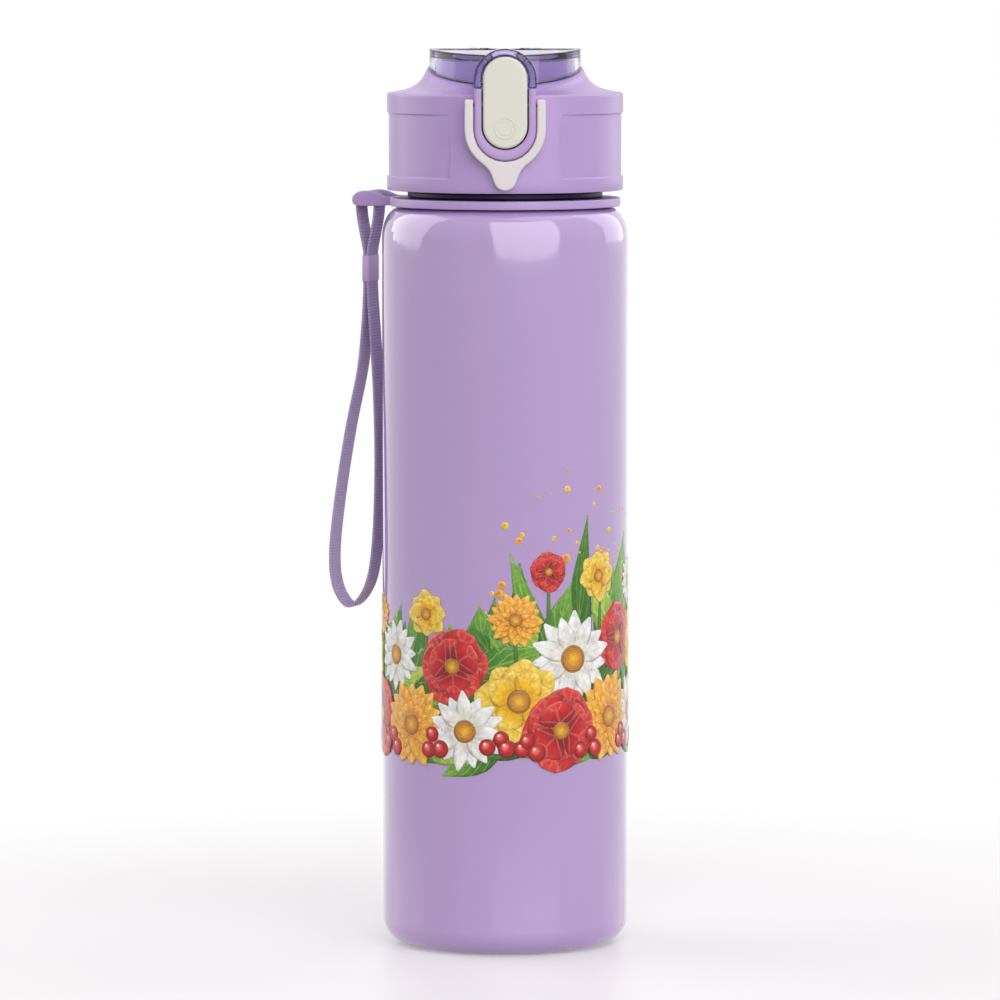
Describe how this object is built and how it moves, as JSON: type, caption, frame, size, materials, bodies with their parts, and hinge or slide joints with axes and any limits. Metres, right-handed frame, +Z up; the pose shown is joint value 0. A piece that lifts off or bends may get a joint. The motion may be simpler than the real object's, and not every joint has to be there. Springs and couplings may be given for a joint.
{
  "type": "sports water bottle",
  "caption": "Round sports water bottle with a screw cap, latched clear flip cover over a drinking spout, swinging lock bail and a wrist strap on a swivel ring.",
  "frame": {"origin": "centre of the base, on the plane the bottle stands on", "axes": "+Z up along the bottle's axis, -Y towards the latch button at the front of the cap, +X to the right seen from the front"},
  "size_m": [0.0896, 0.075, 0.2667],
  "materials": {
    "bottle_plastic": "glossy opaque lavender",
    "cap_plastic": "satin lavender",
    "keeper_plastic": "satin mauve",
    "webbing": "woven tape, mauve",
    "liner_plastic": "pale lavender",
    "clear_plastic": "clear, tinted violet",
    "ivory_plastic": "satin warm white",
    "silicone": "translucent white, matte",
    "steel": "bright"
  },
  "bodies": {
    "bottle": {"bottle_body": "bottle_plastic"},
    "ring": {"strap_ring": "cap_plastic"},
    "strap": {"strap_webbing": "webbing", "strap_keeper": "keeper_plastic"},
    "gasket": {"cap_gasket": "silicone"},
    "cap": {"cap_shell": "cap_plastic", "cap_liner": "liner_plastic", "spout": "liner_plastic", "cover_hinge_pin": "steel", "cover_spring": "steel", "latch_pin": "steel", "button_spring": "steel"},
    "cover": {"flip_cover": "clear_plastic", "cover_seal": "silicone"},
    "button": {"release_button": "ivory_plastic"},
    "bail": {"lock_bail": "ivory_plastic"}
  },
  "joints": [
    {"name": "ring_swivel", "type": "hinge", "parent": "bottle", "child": "ring", "pos_m": [0, 0, 0.22115], "axis": [0, 0, 1], "continuous": true},
    {"name": "strap_swing", "type": "hinge", "parent": "ring", "child": "strap", "pos_m": [-0.03956, 0.0144, 0.2211], "axis": [0.342, 0.9397, 0], "range_deg": [0, 120]},
    {"name": "cap_lift", "type": "slide", "parent": "bottle", "child": "gasket", "axis": [0, 0, 1], "range_m": [0, 0.01501]},
    {"name": "cap_turn", "type": "hinge", "parent": "gasket", "child": "cap", "pos_m": [0, 0, 0.235], "axis": [0, 0, 1], "range_deg": [0, 1080]},
    {"name": "cover_hinge", "type": "hinge", "parent": "cap", "child": "cover", "pos_m": [0, 0.0256, 0.2636], "axis": [-1, 0, 0], "range_deg": [0, 150]},
    {"name": "button_press", "type": "hinge", "parent": "cap", "child": "button", "pos_m": [0, -0.0365, 0.2506], "axis": [1, 0, 0], "range_deg": [0, 7.5], "stiffness_Nm_per_rad": 0.2, "springref_deg": -8.59, "deforming": ["button_spring"]},
    {"name": "bail_swing", "type": "hinge", "parent": "cap", "child": "bail", "pos_m": [0, -0.0365, 0.2506], "axis": [-1, 0, 0], "range_deg": [0, 180]}
  ],
  "couplings": [
    {"joint": "cap_lift", "follows": "cap_turn", "m_per_rad": 0.00079577}
  ]
}
